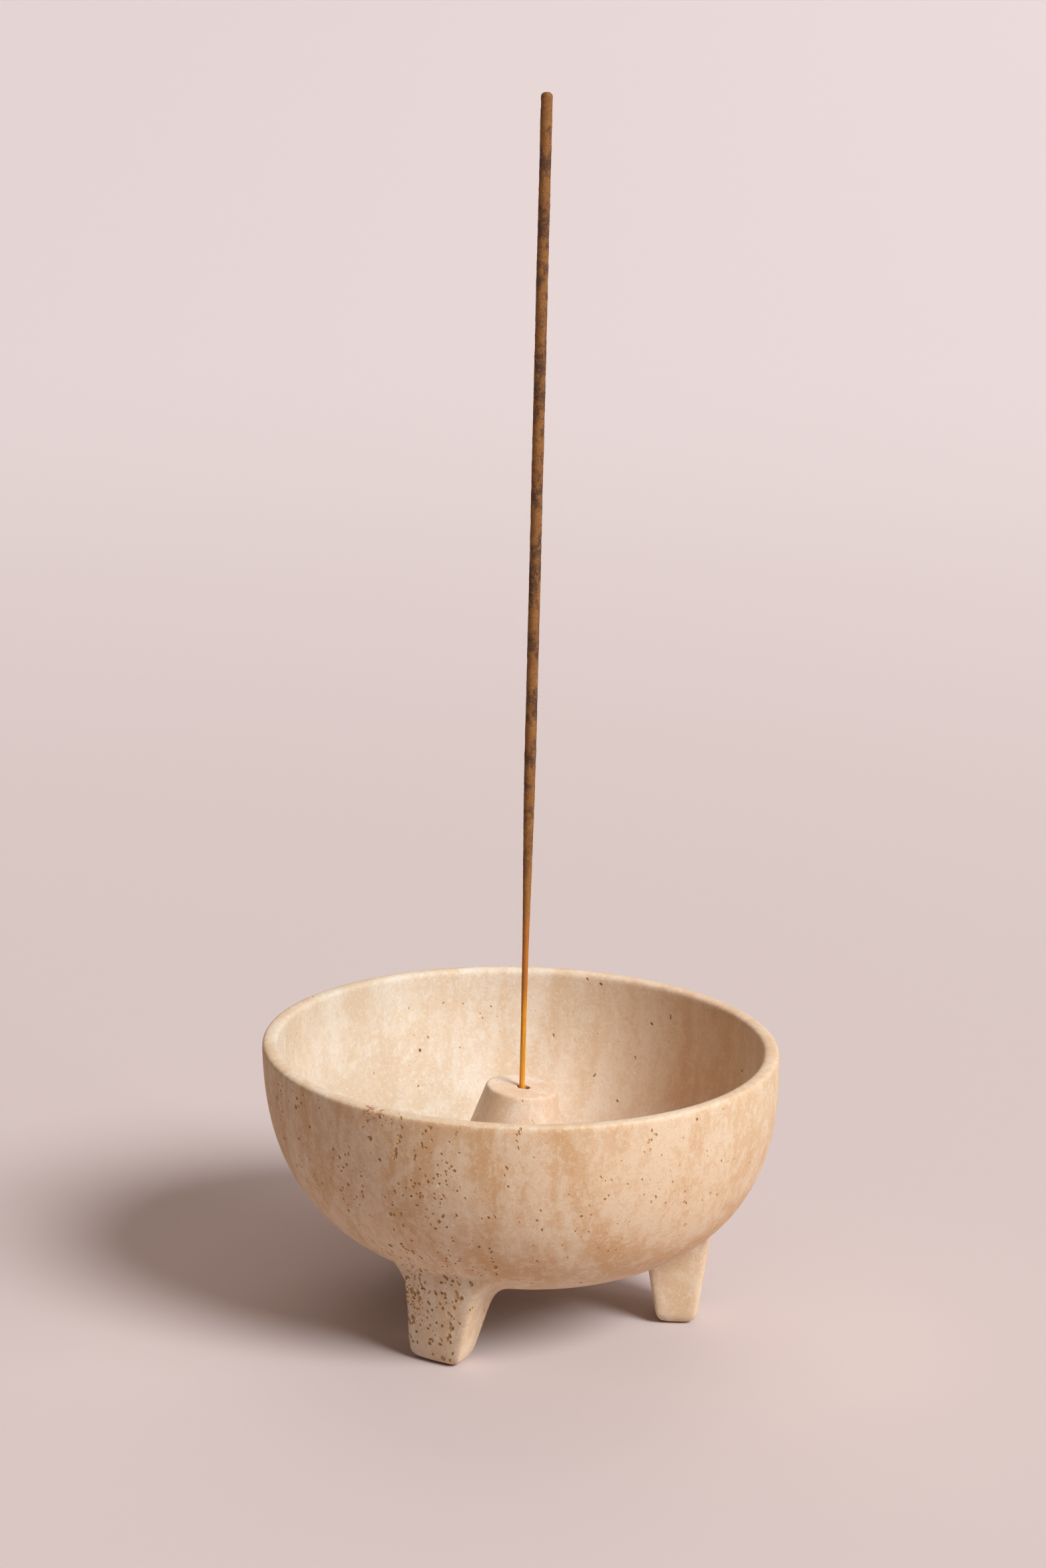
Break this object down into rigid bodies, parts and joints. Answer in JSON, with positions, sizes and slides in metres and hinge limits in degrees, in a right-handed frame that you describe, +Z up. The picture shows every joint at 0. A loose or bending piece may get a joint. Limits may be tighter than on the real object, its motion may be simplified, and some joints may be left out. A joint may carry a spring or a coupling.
{
  "type": "incense burner",
  "caption": "Round footed travertine bowl with a loose cone-shaped stick holder standing on its floor and an incense stick set upright in the holder's drilled hole.",
  "frame": {"origin": "on the surface that the three feet stand on, under the middle of the bowl's rim", "axes": "+Z up along the middle of the rim, +X towards one of the three legs"},
  "size_m": [0.1201, 0.12, 0.2862],
  "materials": {
    "travertine": "honed, unfilled pits",
    "travertine_holder": "honed, almost free of pits",
    "bamboo": "split bamboo, uncoated",
    "incense_paste": "dry pressed powder, matte and slightly grainy"
  },
  "bodies": {
    "bowl": {"bowl": "travertine"},
    "holder": {"stick_holder": "travertine_holder"},
    "stick": {"bamboo_core": "bamboo", "incense_coat": "incense_paste"}
  },
  "joints": [
    {"name": "holder_lift", "type": "slide", "parent": "bowl", "child": "holder", "axis": [0, 0, 1], "range_m": [0, 0.05]},
    {"name": "stick_pull", "type": "slide", "parent": "holder", "child": "stick", "axis": [0, 0, 1], "range_m": [0, 0.02]}
  ]
}
